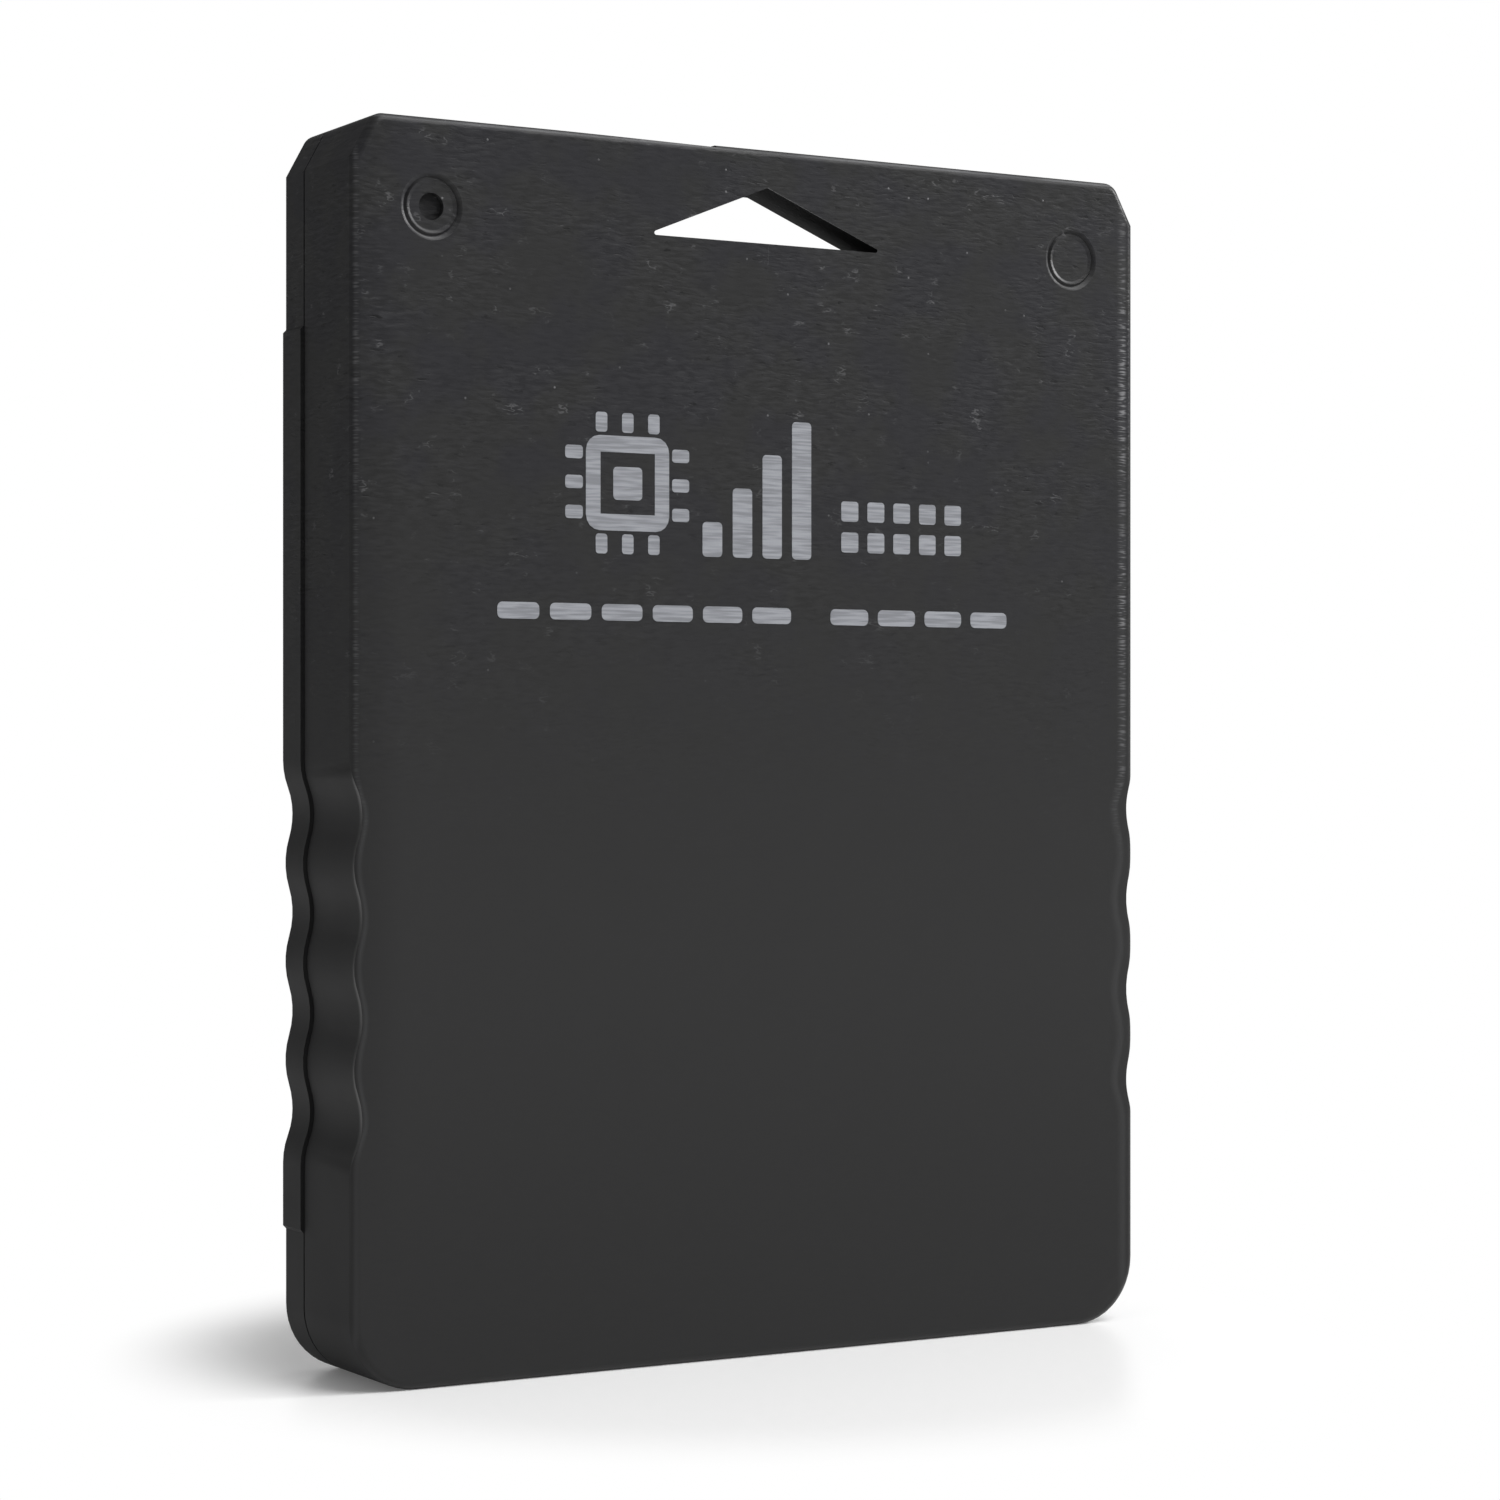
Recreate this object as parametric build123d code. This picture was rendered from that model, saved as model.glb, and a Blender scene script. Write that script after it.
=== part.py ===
from build123d import *
import os

# Console memory card, standing on its connector end. The printed face looks towards -Y, the top is +Z,
# and the origin is the middle of the foot. All sizes are in millimetres.

# Case, both halves together
case_width = 42.0
case_height = 56.0
case_thickness = 7.6
rear_shell_depth = 2.4
wall = 1.2
front_edge_round = 0.4
rear_edge_cut = 0.3
foot_corner_radius = 3.15
top_cut_across = 1.1
top_cut_down = 2.0
top_cut_round = 0.8
top_nick_length = 9.0
top_nick_depth = 0.12
top_nick_end = -2.65
# Room between pieces that slide into one another
fit_gap = 0.1

# Seam between the halves, with a lip on the rear half
seam_width = 0.12
seam_depth = 0.25
lip_height = 1.0
lip_thickness = 0.7

# Finger waves on both long sides, counted from the lowest trough
wave_count = 4
wave_pitch = 4.45
wave_depth = 0.46
wave_crest_depth = 0.12
wave_low = 11.9
wave_fade = 2.4

# Guide rail along each side of the rear half
rail_proud = 0.15
rail_low = 6.5
rail_top_gap = 8.9

# Triangular strap hole below the top edge, which widens to the rear
strap_width = 12.85
strap_height = 2.6
strap_drop = 4.4
strap_rear_width = 23.5
strap_corner_radius = 0.1
strap_wall = 1.0

# Round marks on the face over the upper posts, each a dished disc in a groove, the left one with a gate pit
mark_radius = 1.5
mark_groove_width = 0.3
mark_groove_depth = 0.1
mark_groove_slope = 0.2
mark_rim_width = 0.15
mark_rim_sink = 0.015
mark_sink = 0.06
mark_inset = 3.8
mark_drop = 3.95
pit_radius = 0.6
pit_depth = 0.4

# Posts of the front half and their sockets in the rear half
post_radius = 1.1
post_end_gap = 0.3
socket_wall = 0.9
low_post_inset = 6.2

# Connector recess, open to the foot and to the rear, with the contact places filled in each of its windows
filled_places = ((0, 1, 2), (0, 1, 2), (0, 2))
contacts_per_window = 3
contact_width = 2.1
contact_pitch = 3.3
contact_thickness = 0.1
contact_margin = 0.5
contact_end_gap = 0.7
divider_width = 1.4
divider_drop = 0.5
recess_length = 9.5
frame_wall = 1.0

# Circuit board and what holds it
board_thickness = 1.0
board_lift = 0.5
board_setback = 0.8
board_side_gap = 0.25
board_top_margin = 3.6
rest_width = 1.2
rest_length = 3.0
rest_inset = 3.5
part_gap = 1.0

# Memory package
flash_length = 18.4
flash_width = 8.0
flash_height = 1.0
flash_leads_per_side = 16
flash_lead_pitch = 0.5
flash_lead_width = 0.22

# Controller package
controller_size = 7.0
controller_height = 1.4
controller_leads_per_side = 8
controller_lead_pitch = 0.8
controller_lead_width = 0.37

# Bends of the leads and draft of the mould, alike on both packages
lead_thickness = 0.13
lead_shoulder = 0.3
lead_reach = 0.85
package_standoff = 0.1
package_draft = 8

# Small ceramic parts
capacitor_length = 2.0
capacitor_width = 1.25
capacitor_height = 0.85
resistor_length = 1.6
resistor_width = 0.8
resistor_height = 0.45
resistor_count = 6
resistor_pitch = 2.4
cap_share = 0.22
cap_step = 0.04

# Depths, from the printed face to the rear
front_face = -case_thickness / 2
rear_face = case_thickness / 2
front_inner = front_face + wall
rear_inner = rear_face - wall
parting = rear_face - rear_shell_depth
board_front = front_inner + board_lift
board_rear = board_front + board_thickness

# Places across and up the face
half_width = case_width / 2
windows = len(filled_places)
window_width = (contacts_per_window - 1) * contact_pitch + contact_width + 2 * contact_margin
window_pitch = window_width + divider_width
recess_width = windows * window_width + (windows - 1) * divider_width
frame_top = recess_length + frame_wall
socket_radius = post_radius + fit_gap + socket_wall
low_post_height = frame_top + part_gap + socket_radius
mark_places = [(side * (half_width - mark_inset), case_height - mark_drop) for side in (-1, 1)]
low_post_places = [(side * (half_width - low_post_inset), low_post_height) for side in (-1, 1)]
post_places = mark_places + low_post_places
resistor_up = frame_top + part_gap + resistor_length / 2
controller_up = resistor_up + resistor_length / 2 + part_gap + lead_reach + controller_size / 2
flash_up = controller_up + controller_size / 2 + lead_reach + part_gap + flash_width / 2
board_top = flash_up + flash_width / 2 + board_top_margin
board_half_width = half_width - wall - fit_gap - lip_thickness - board_side_gap


def prism(sketch, y_from, y_to):
    """Extrude a face-on sketch, drawn as (across, up), between two depths."""
    return extrude(Plane.XZ.offset(-y_to) * sketch, y_to - y_from)


def slab(x_from, x_to, y_from, y_to, z_from, z_to):
    """Make a square-edged block between the given limits."""
    sketch = Pos((x_from + x_to) / 2, (z_from + z_to) / 2) * Rectangle(x_to - x_from, z_to - z_from)
    return prism(sketch, y_from, y_to)


def post(place, radius, y_from, y_to):
    """Make a round bar square to the face."""
    return prism(Pos(*place) * Circle(radius), y_from, y_to)


def both_sides(shape):
    """Give a shape of the right-hand side together with its mirror image."""
    return shape + mirror(shape, Plane.YZ)


def plain_outline():
    """Outline of the case seen from the front, without the finger waves."""
    corners = Polygon(
        (half_width, 0),
        (half_width, case_height - top_cut_down),
        (half_width - top_cut_across, case_height),
        (top_cut_across - half_width, case_height),
        (-half_width, case_height - top_cut_down),
        (-half_width, 0),
        align=None,
    )
    rounded = fillet(corners.vertices().group_by(Axis.Y)[0], foot_corner_radius)
    return fillet(rounded.vertices().group_by(Axis.Y)[-1], top_cut_round)


def half_wave(start, end):
    """Join two turning points of the wave by two equal arcs that are upright at both ends."""
    middle = ((start[0] + end[0]) / 2, (start[1] + end[1]) / 2)
    rise = end[1] - start[1]
    return [
        TangentArc(start, middle, tangent=(0, rise)),
        TangentArc(end, middle, tangent=(0, -rise)),
    ]


def wave_cut(edge):
    """Area that the finger waves take off a right-hand side that lies at the given distance."""
    turns = [(edge, wave_low - wave_fade)]
    for index in range(wave_count):
        trough_up = wave_low + index * wave_pitch
        turns.append((edge - wave_depth, trough_up))
        if index < wave_count - 1:
            turns.append((edge - wave_crest_depth, trough_up + wave_pitch / 2))
    turns.append((edge, wave_low + (wave_count - 1) * wave_pitch + wave_fade))
    curves = []
    for start, end in zip(turns, turns[1:]):
        curves += half_wave(start, end)
    outside = edge + wall
    closing = Polyline(turns[0], (outside, turns[0][1]), (outside, turns[-1][1]), turns[-1])
    return make_face(curves + closing.edges())


def waved_outline():
    """Outline of the case with the finger waves taken off both long sides."""
    return plain_outline() - both_sides(wave_cut(half_width))


def rail_outline():
    """Area of the guide rail that stands slightly proud of the right-hand side, with ramped ends."""
    top = case_height - rail_top_gap
    proud = half_width + rail_proud
    return Polygon(
        (half_width - wall, rail_low),
        (half_width, rail_low),
        (proud, rail_low + rail_proud),
        (proud, top - rail_proud),
        (half_width, top),
        (half_width - wall, top),
        align=None,
    )


def front_block():
    """Solid form of the front half, whose rounded edge is partly taken off by the finger waves."""
    block = prism(plain_outline(), front_face, parting)
    block = fillet(block.faces().sort_by(Axis.Y)[0].edges(), front_edge_round)
    return block - prism(both_sides(wave_cut(half_width)), front_face, parting) - top_nick()


def rear_block():
    """Solid form of the rear half, with rails that follow the finger waves and a bevelled edge."""
    outline = plain_outline() + both_sides(rail_outline())
    outline -= both_sides(wave_cut(half_width + rail_proud))
    block = prism(outline, parting, rear_face)
    return chamfer(block.faces().sort_by(Axis.Y)[-1].edges(), rear_edge_cut) - top_nick()


def strap_outline(width):
    """Triangle of the strap hole where it has the given width, with its height in proportion."""
    base = case_height - strap_drop
    top = base + strap_height * width / strap_width
    corners = [(-width / 2, base), (width / 2, base), (0, top)]
    return fillet(Polygon(*corners, align=None).vertices(), strap_corner_radius)


def strap_funnel(grow):
    """Taper from the strap hole in the face to the wider one in the rear, with its sides moved out."""
    outlines = [strap_outline(strap_width), strap_outline(strap_rear_width)]
    if grow > 0:
        outlines = [offset(outline, grow) for outline in outlines]
    depths = (front_face, rear_face)
    return loft([Plane.XZ.offset(-depth) * outline for depth, outline in zip(depths, outlines)], ruled=True)


def strap_hole():
    """Space of the strap hole, kept below the wall along the top of the case."""
    ceiling = case_height - strap_wall
    return strap_funnel(0) & slab(-half_width, half_width, front_face, rear_face, 0, ceiling)


def strap_tube(grow, y_from, y_to):
    """Wall around the strap hole between two depths, joined to the top of the case."""
    return strap_funnel(grow) & prism(plain_outline(), y_from, y_to)


def top_nick():
    """Long shallow wedge that the mould leaves in the top edge, deepest at the end nearer the middle."""
    wedge = Polygon(
        (top_nick_end - top_nick_length, case_height),
        (top_nick_end, case_height - top_nick_depth),
        (top_nick_end, case_height),
        align=None,
    )
    return prism(wedge, front_face, rear_face)


def room(gap):
    """Outline of the space inside the case, kept clear of the front half's walls by the given gap."""
    return offset(plain_outline(), -wall - gap)


def divider_places():
    """Distances across of the ribs between the connector windows."""
    return [(index - windows / 2 + 1) * window_pitch for index in range(windows - 1)]


def front_shell():
    """Deeper half of the case, with the printed face, the posts and the connector dividers."""
    shell = front_block() - prism(room(0), front_inner, parting)
    shell += strap_tube(strap_wall, front_inner, parting)
    shell -= strap_hole()
    shell -= slab(-recess_width / 2, recess_width / 2, board_front, parting, 0, wall)
    for across in divider_places():
        left = across - divider_width / 2
        right = across + divider_width / 2
        shell += slab(left, right, front_inner, rear_face - divider_drop, 0, recess_length - fit_gap)
    for place in low_post_places:
        shell += post(place, socket_radius, front_inner, board_front)
    for place in post_places:
        shell += post(place, post_radius, front_inner, rear_inner - post_end_gap)
    shell += board_rests(front_inner, board_front)
    for (across, up), mark in zip(mark_places, (gate_mark(), round_mark())):
        shell -= Pos(across, front_face, up) * mark
    return shell


def round_mark():
    """Cutter for a dished disc with a raised rim and a sloping groove around it, on a face at the origin."""
    rim = mark_radius - mark_groove_width
    section = Polygon(
        (0, 0),
        (mark_radius, 0),
        (mark_radius - mark_groove_slope, mark_groove_depth),
        (rim, mark_rim_sink),
        (rim - mark_rim_width, mark_sink),
        (0, mark_sink),
        align=None,
    )
    return revolve(section, Axis.Y)


def gate_mark():
    """Cutter for a round mark whose disc has a pit in the middle."""
    return round_mark() + post((0, 0), pit_radius, 0, pit_depth)


def board_rests(y_from, y_to):
    """Pair of ribs that meet the board near its upper end."""
    across = board_half_width - rest_inset
    top = board_top - part_gap
    rib = slab(across - rest_width / 2, across + rest_width / 2, y_from, y_to, top - rest_length, top)
    return both_sides(rib)


def rear_shell():
    """Shallower half of the case, with the lip, the rails, the sockets and the frame of the connector."""
    shell = rear_block()
    around = Pos(0, case_height / 2) * Rectangle(2 * case_width, 2 * case_height)
    shell -= prism(around - offset(waved_outline(), -seam_depth), parting, parting + seam_width)
    lip_outline = room(fit_gap)
    lip_inside = room(fit_gap + lip_thickness)
    shell -= prism(lip_inside, parting, rear_inner)
    inner = prism(lip_outline - lip_inside, parting - lip_height, parting)
    for place in post_places:
        inner += post(place, socket_radius, board_rear, rear_inner)
    inner += connector_frame()
    inner += board_rests(board_rear, rear_inner)
    inner -= strap_tube(strap_wall + fit_gap, board_rear, parting)
    shell += inner & prism(lip_outline, board_rear, rear_inner)
    shell += strap_tube(strap_wall, parting, rear_inner)
    shell -= strap_hole()
    for place in post_places:
        shell -= post(place, post_radius + fit_gap, board_rear, rear_inner)
    return shell - slab(-recess_width / 2, recess_width / 2, board_rear, rear_face, 0, recess_length)


def connector_frame():
    """Walls that close the connector recess off from the inside of the case."""
    outer = recess_width / 2 + frame_wall
    return slab(-outer, outer, board_rear, rear_inner, 0, frame_top)


def circuit_board():
    """Board with its connector tongue, divider notches and post holes."""
    shoulder = wall + fit_gap
    tongue_half = recess_width / 2 - fit_gap
    board = slab(-board_half_width, board_half_width, board_front, board_rear, shoulder, board_top)
    board &= prism(room(fit_gap), board_front, board_rear)
    board += slab(-tongue_half, tongue_half, board_front, board_rear, board_setback, shoulder)
    for across in divider_places():
        notch_half = divider_width / 2 + fit_gap
        board -= slab(across - notch_half, across + notch_half, board_front, board_rear, 0, recess_length)
    for place in low_post_places:
        board -= post(place, post_radius + fit_gap, board_front, board_rear)
    return board


def contact_strips():
    """Contact strips in the filled places of the connector windows."""
    low = board_setback + contact_end_gap
    high = recess_length - contact_end_gap
    proud = board_rear + contact_thickness
    strips = []
    for window, filled in enumerate(filled_places):
        middle = (window - (windows - 1) / 2) * window_pitch
        for place in filled:
            left = middle + (place - (contacts_per_window - 1) / 2) * contact_pitch - contact_width / 2
            strips.append(slab(left, left + contact_width, board_rear, proud, low, high))
    return strips


def package(length, width, height):
    """Moulded package on the board, widest at its lead plane, standing at the origin."""
    outline = Rectangle(length, width)
    lead_plane = package_standoff + height / 2
    half_band = lead_thickness / 2
    band_low = lead_plane - half_band
    band_high = lead_plane + half_band
    drafted = height / 2 - half_band
    lower = extrude(Plane.XZ.offset(-band_low) * outline, drafted, taper=package_draft)
    upper = extrude((-Plane.XZ).offset(band_high) * outline, drafted, taper=package_draft)
    return prism(outline, band_low, band_high) + lower + upper


def gull_wing_lead(reach_from, height, width):
    """One bent lead, from the side of a package down to its foot on the board."""
    top = package_standoff + (height + lead_thickness) / 2
    bend = reach_from + lead_shoulder
    profile = Polygon(
        (reach_from, top),
        (bend, top),
        (bend + lead_thickness, lead_thickness),
        (reach_from + lead_reach, lead_thickness),
        (reach_from + lead_reach, 0),
        (bend, 0),
        (bend - lead_thickness, top - lead_thickness),
        (reach_from, top - lead_thickness),
        align=None,
    )
    return extrude(profile, width / 2, both=True)


def lead_rows(lead, per_side, pitch, turns):
    """Rows of a lead on the sides of a package that face the given turns about the board's normal."""
    rows = []
    for turn in turns:
        for index in range(per_side):
            along = (index - (per_side - 1) / 2) * pitch
            rows.append(Rot(0, turn, 0) * Pos(0, 0, along) * lead)
    return rows


def chip_part(length, width, height):
    """Small ceramic part lying across the face, with a metal cap slightly proud at each end."""
    cap_length = length * cap_share
    body_half = width / 2 - cap_step
    body = slab(-length / 2, length / 2, cap_step, height - cap_step, -body_half, body_half)
    cap = slab(length / 2 - cap_length, length / 2, 0, height, -width / 2, width / 2)
    return body + both_sides(cap)


def on_board(shape, across, up):
    """Place a part that was made at the origin on the rear of the board."""
    return Pos(across, board_rear, up) * shape


def as_group(solids):
    """Gather separate solids into one group."""
    return Compound(children=solids)


def all_pieces():
    """Every piece of the card by its name."""
    pieces = {
        "front_shell": front_shell(),
        "rear_shell": rear_shell(),
        "circuit_board": circuit_board(),
    }
    for number, strip in enumerate(contact_strips(), 1):
        pieces[f"contact_{number}"] = strip
    flash = package(flash_length, flash_width, flash_height)
    flash_lead = gull_wing_lead(flash_length / 2, flash_height, flash_lead_width)
    flash_leads = lead_rows(flash_lead, flash_leads_per_side, flash_lead_pitch, (0, 180))
    pieces["flash_chip"] = on_board(flash, 0, flash_up)
    pieces["flash_leads"] = as_group([on_board(lead, 0, flash_up) for lead in flash_leads])
    controller = package(controller_size, controller_size, controller_height)
    lead = gull_wing_lead(controller_size / 2, controller_height, controller_lead_width)
    controller_leads = lead_rows(lead, controller_leads_per_side, controller_lead_pitch, (0, 90, 180, 270))
    pieces["controller_chip"] = on_board(controller, 0, controller_up)
    pieces["controller_leads"] = as_group([on_board(lead, 0, controller_up) for lead in controller_leads])
    capacitor = chip_part(capacitor_length, capacitor_width, capacitor_height)
    beside_controller = controller_size / 2 + lead_reach + part_gap + capacitor_length / 2
    beside_flash = flash_length / 2 + lead_reach + part_gap + capacitor_length / 2
    capacitor_places = [
        (-beside_controller, controller_up),
        (beside_controller, controller_up),
        (-beside_flash, flash_up),
        (beside_flash, flash_up),
    ]
    for number, (across, up) in enumerate(capacitor_places, 1):
        pieces[f"capacitor_{number}"] = on_board(capacitor, across, up)
    resistor = Rot(0, 90, 0) * chip_part(resistor_length, resistor_width, resistor_height)
    for index in range(resistor_count):
        across = (index - (resistor_count - 1) / 2) * resistor_pitch
        pieces[f"resistor_{index + 1}"] = on_board(resistor, across, resistor_up)
    return pieces


os.makedirs("parts", exist_ok=True)
for name, piece in all_pieces().items():
    piece.label = name
    export_step(piece, f"parts/{name}.step")
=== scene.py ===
"""Looks of a console memory card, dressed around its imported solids.

Sizes are in millimetres in the card's own frame, with +X to the right of the printed face, +Y from that face
to the rear and +Z up from the foot. MM turns them into the frame's metres.
"""

import logging
import math
from dataclasses import dataclass, field
from enum import Enum

import bpy
import numpy as np
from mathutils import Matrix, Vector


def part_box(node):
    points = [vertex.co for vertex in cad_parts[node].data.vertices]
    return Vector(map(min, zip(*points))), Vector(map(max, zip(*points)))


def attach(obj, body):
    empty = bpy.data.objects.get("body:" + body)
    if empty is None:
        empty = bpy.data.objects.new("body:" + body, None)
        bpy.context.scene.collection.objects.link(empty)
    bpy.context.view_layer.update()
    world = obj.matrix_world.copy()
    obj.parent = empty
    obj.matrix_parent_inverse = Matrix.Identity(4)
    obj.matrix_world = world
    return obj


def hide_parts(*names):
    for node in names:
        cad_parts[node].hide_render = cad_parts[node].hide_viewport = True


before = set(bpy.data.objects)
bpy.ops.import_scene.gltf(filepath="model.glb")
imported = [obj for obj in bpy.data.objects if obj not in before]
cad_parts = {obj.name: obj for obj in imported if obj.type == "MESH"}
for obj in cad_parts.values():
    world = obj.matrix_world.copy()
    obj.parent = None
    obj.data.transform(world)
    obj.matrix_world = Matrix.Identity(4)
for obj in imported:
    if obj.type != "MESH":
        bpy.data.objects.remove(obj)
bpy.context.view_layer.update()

MM = 0.001
BODY = "root"
log = logging.getLogger("memory_card")

Colour = tuple[float, float, float, float]
Point = tuple[float, float]


def tone(red: float, green: float, blue: float) -> Colour:
    """Give the linear colour of a display colour in parts of 255.

    Each part is a straight line near black and a power of 2.4 above it, as the display curve is.

    Args:
        red: Red part.
        green: Green part.
        blue: Blue part.

    Returns:
        Linear red, green and blue, with an opacity of 1.
    """
    parts = np.array((red, green, blue)) / 255
    linear = np.where(parts <= 0.04045, parts / 12.92, ((parts + 0.055) / 1.055) ** 2.4)
    return (*linear.tolist(), 1.0)


@dataclass(frozen=True)
class Box:
    """Lowest and highest corner of some solids, in millimetres."""

    low: np.ndarray
    high: np.ndarray

    @classmethod
    def of(cls, *nodes: str) -> "Box":
        """Measure the box around the named solids."""
        corners = np.array([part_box(node) for node in nodes]) / MM
        return cls(corners[:, 0].min(axis=0), corners[:, 1].max(axis=0))

    @property
    def middle(self) -> np.ndarray:
        """Centre of the box."""
        return (self.low + self.high) / 2

    @property
    def size(self) -> np.ndarray:
        """Lengths of the box along the three axes."""
        return self.high - self.low


@dataclass(frozen=True)
class Value:
    """A number that changes over a surface: sums and products of it add Math nodes."""

    graph: "NodeGraph"
    socket: bpy.types.NodeSocket

    def _math(self, operation: str, *terms: "Value | float") -> "Value":
        """Add a Math node on the given terms."""
        node = self.graph.add("ShaderNodeMath", {"operation": operation}, dict(enumerate(terms)))
        return Value(self.graph, node.outputs[0])

    def __add__(self, other: "Value | float") -> "Value":
        """Sum."""
        return self._math("ADD", self, other)

    def __sub__(self, other: "Value | float") -> "Value":
        """Difference."""
        return self._math("SUBTRACT", self, other)

    def __rsub__(self, other: float) -> "Value":
        """Difference from a number."""
        return self._math("SUBTRACT", other, self)

    def __mul__(self, other: "Value | float") -> "Value":
        """Product."""
        return self._math("MULTIPLY", self, other)

    __radd__ = __add__
    __rmul__ = __mul__

    def __abs__(self) -> "Value":
        """Size without sign."""
        return self._math("ABSOLUTE", self)

    def cosine(self) -> "Value":
        """Cosine of the value in radians."""
        return self._math("COSINE", self)

    def near(self, middle: float, reach: float) -> "Value":
        """Give 1 at the middle, falling smoothly to 0 at the reach on both sides."""
        return abs(self - middle).ramp(reach, 0.2 * reach)

    def ramp(self, low: float, high: float) -> "Value":
        """Rise smoothly from 0 at the low mark to 1 at the high mark, or fall if low is the larger.

        Args:
            low: Mark at which the result is 0.
            high: Mark at which the result is 1.

        Returns:
            The smooth step between the marks.
        """
        marks = {"Value": self, "From Min": low, "From Max": high}
        node = self.graph.add("ShaderNodeMapRange", {"interpolation_type": "SMOOTHSTEP"}, marks)
        return Value(self.graph, node.outputs[0])


class NodeGraph:
    """Shader nodes of one material or world, added by type, settings and socket values."""

    def __init__(self, tree: bpy.types.NodeTree) -> None:
        """Start from an emptied node tree."""
        self.tree = tree
        tree.nodes.clear()

    def add(self, kind: str, settings: dict | None = None, inputs: dict | None = None) -> bpy.types.Node:
        """Add a node.

        Args:
            kind: Blender's name of the node type.
            settings: Properties of the node, which are set first.
            inputs: Values or links of its sockets, by name or place.

        Returns:
            The new node.
        """
        node = self.tree.nodes.new(kind)
        for name, setting in (settings or {}).items():
            setattr(node, name, setting)
        for key, item in (inputs or {}).items():
            source = item.socket if isinstance(item, Value) else item
            if isinstance(source, bpy.types.NodeSocket):
                self.tree.links.new(source, node.inputs[key])
            else:
                node.inputs[key].default_value = source
        return node

    def place(self) -> bpy.types.NodeSocket:
        """Give the point of the surface in the card's frame, in millimetres."""
        inputs = {0: self.add("ShaderNodeTexCoord").outputs["Object"], "Scale": 1 / MM}
        return self.add("ShaderNodeVectorMath", {"operation": "SCALE"}, inputs).outputs[0]

    def split(self, vector: bpy.types.NodeSocket) -> list[Value]:
        """Give the three parts of a vector."""
        node = self.add("ShaderNodeSeparateXYZ", None, {0: vector})
        return [Value(self, output) for output in node.outputs]

    def join(self, *parts: Value | float) -> bpy.types.NodeSocket:
        """Make a vector of up to three parts."""
        return self.add("ShaderNodeCombineXYZ", None, dict(enumerate(parts))).outputs[0]

    def length(self, vector: bpy.types.NodeSocket) -> Value:
        """Give the length of a vector."""
        node = self.add("ShaderNodeVectorMath", {"operation": "LENGTH"}, {0: vector})
        return Value(self, node.outputs["Value"])

    def noise(self, vector: bpy.types.NodeSocket, scale: float, detail: float = 2.0) -> Value:
        """Give smooth noise from 0 to 1.

        Args:
            vector: Point at which it is read.
            scale: Waves in each unit of length.
            detail: Number of finer layers.

        Returns:
            The noise.
        """
        node = self.add("ShaderNodeTexNoise", None, {"Vector": vector, "Scale": scale, "Detail": detail})
        return Value(self, node.outputs[0])

    def dots(self, vector: bpy.types.NodeSocket, scale: float) -> tuple[Value, Value]:
        """Scatter points on a plane, one in each cell.

        Args:
            vector: Point of the plane, in its first two parts.
            scale: Cells in each unit of length.

        Returns:
            Distance to the nearest scattered point in cells, and a random number of that cell.
        """
        plane = {"voronoi_dimensions": "2D"}
        node = self.add("ShaderNodeTexVoronoi", plane, {"Vector": vector, "Scale": scale})
        channels = self.add("ShaderNodeSeparateColor", None, {0: node.outputs["Color"]})
        return Value(self, node.outputs["Distance"]), Value(self, channels.outputs[0])

    def blend(self, share: Value, first: object, second: object) -> bpy.types.NodeSocket:
        """Mix two colours.

        Args:
            share: Share of the second colour.
            first: Colour or colour socket.
            second: Colour or colour socket.

        Returns:
            The mixed colour.
        """
        node = self.add("ShaderNodeMix", {"data_type": "RGBA"}, {0: share, 6: first, 7: second})
        return node.outputs[2]

    def relief(self, height: Value, depth: float) -> bpy.types.NodeSocket:
        """Give the normal of a surface whose height of 1 stands for the depth in millimetres."""
        node = self.add("ShaderNodeBump", None, {"Strength": 1.0, "Distance": depth * MM, "Height": height})
        return node.outputs[0]

    def finish(self, inputs: dict) -> None:
        """End the material in a Principled shader with the given socket values."""
        shader = self.add("ShaderNodeBsdfPrincipled", None, inputs)
        self.add("ShaderNodeOutputMaterial", None, {"Surface": shader.outputs[0]})


def new_graph(name: str) -> tuple[bpy.types.Material, NodeGraph]:
    """Start a material of the given name with an empty graph."""
    material = bpy.data.materials.new(name)
    material.use_nodes = True
    return material, NodeGraph(material.node_tree)


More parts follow.
